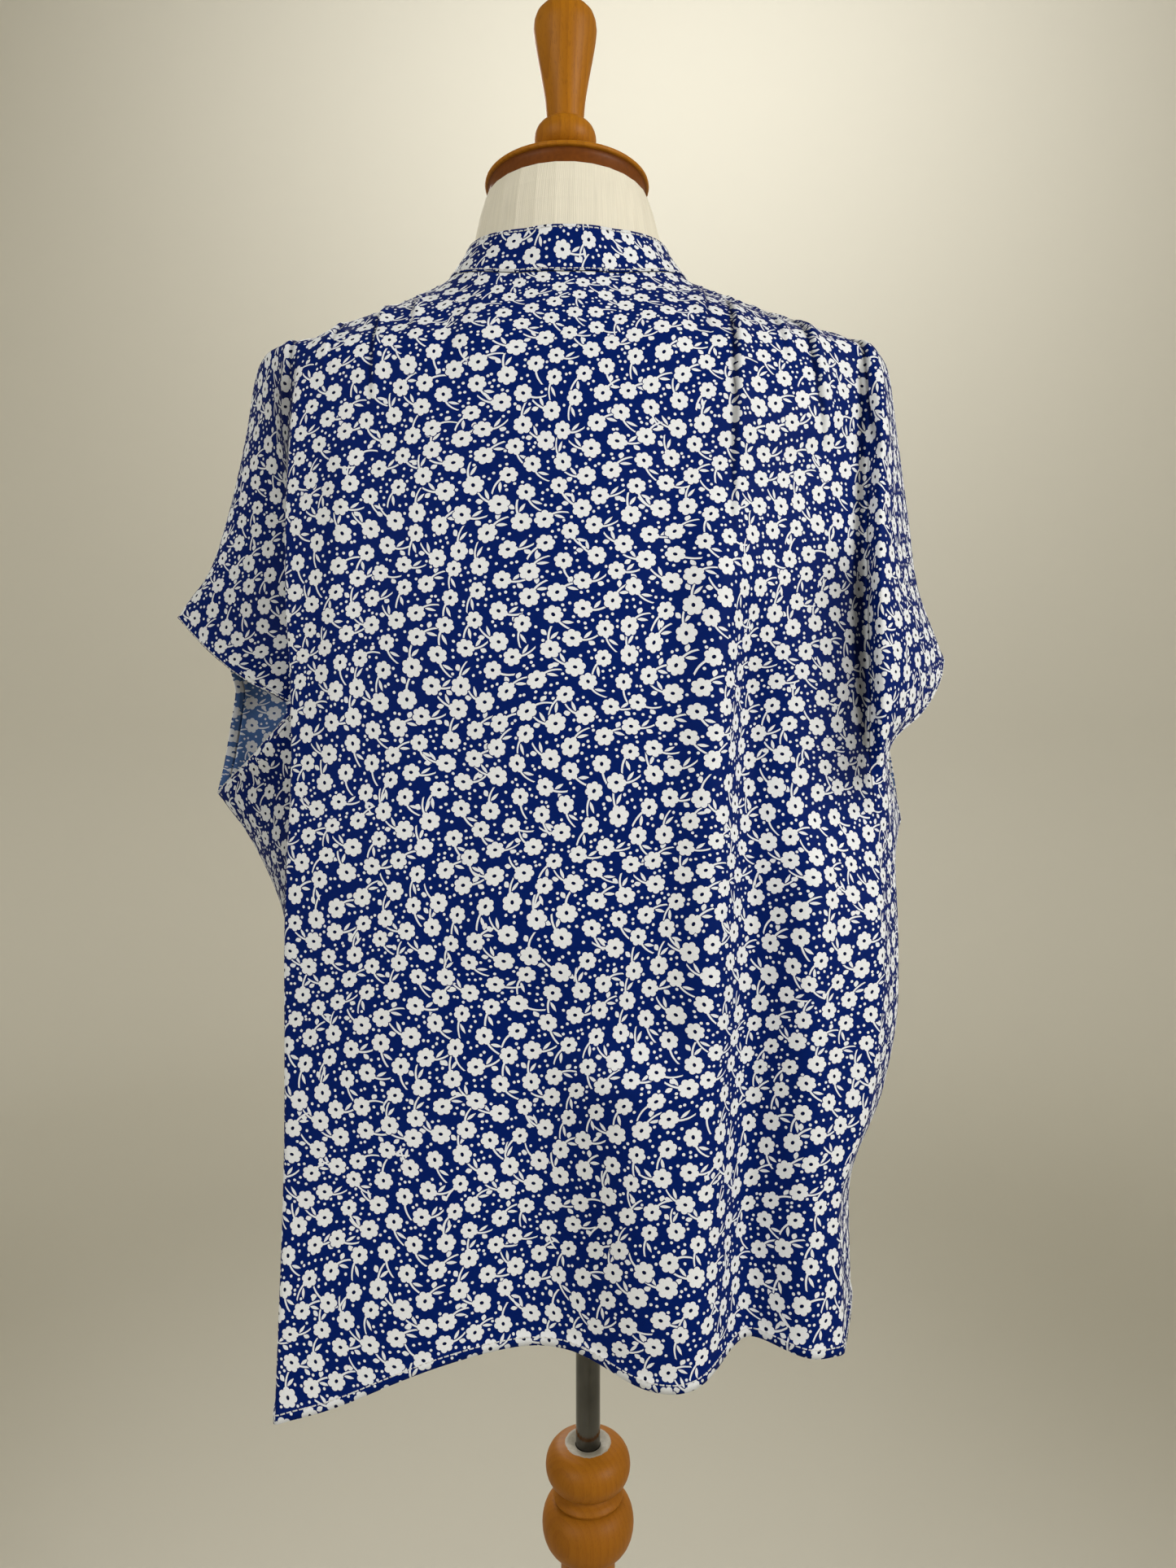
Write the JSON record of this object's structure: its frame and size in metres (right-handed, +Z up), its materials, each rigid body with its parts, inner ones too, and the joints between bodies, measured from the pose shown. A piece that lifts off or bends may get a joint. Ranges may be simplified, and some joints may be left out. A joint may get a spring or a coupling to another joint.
{
  "type": "blouse on limbless dress form with stand",
  "caption": "Loose short-sleeved blouse with a band collar and gathered shoulders, worn by a limbless dress form on a steel pole, turned wooden post and round base.",
  "frame": {"origin": "centre of the base's underside, on the floor", "axes": "+Z up, the blouse's front faces -Y, the wearer's left is +X"},
  "size_m": [0.488, 0.35, 1.6125],
  "materials": {
    "blouse_cloth": "smooth thin viscose, printed",
    "form_cover": "fine plain-woven cover",
    "form_tape": "woven edge tape",
    "wood": "turned and varnished, satin",
    "pole_steel": "polished"
  },
  "bodies": {
    "root": {"back": "blouse_cloth", "front": "blouse_cloth", "yoke_left": "blouse_cloth", "yoke_right": "blouse_cloth", "collar": "blouse_cloth", "form_torso": "form_cover", "form_tape": "form_tape", "neck_cap": "wood", "finial": "wood", "post": "wood", "base": "wood", "pole": "pole_steel"}
  },
  "joints": []
}
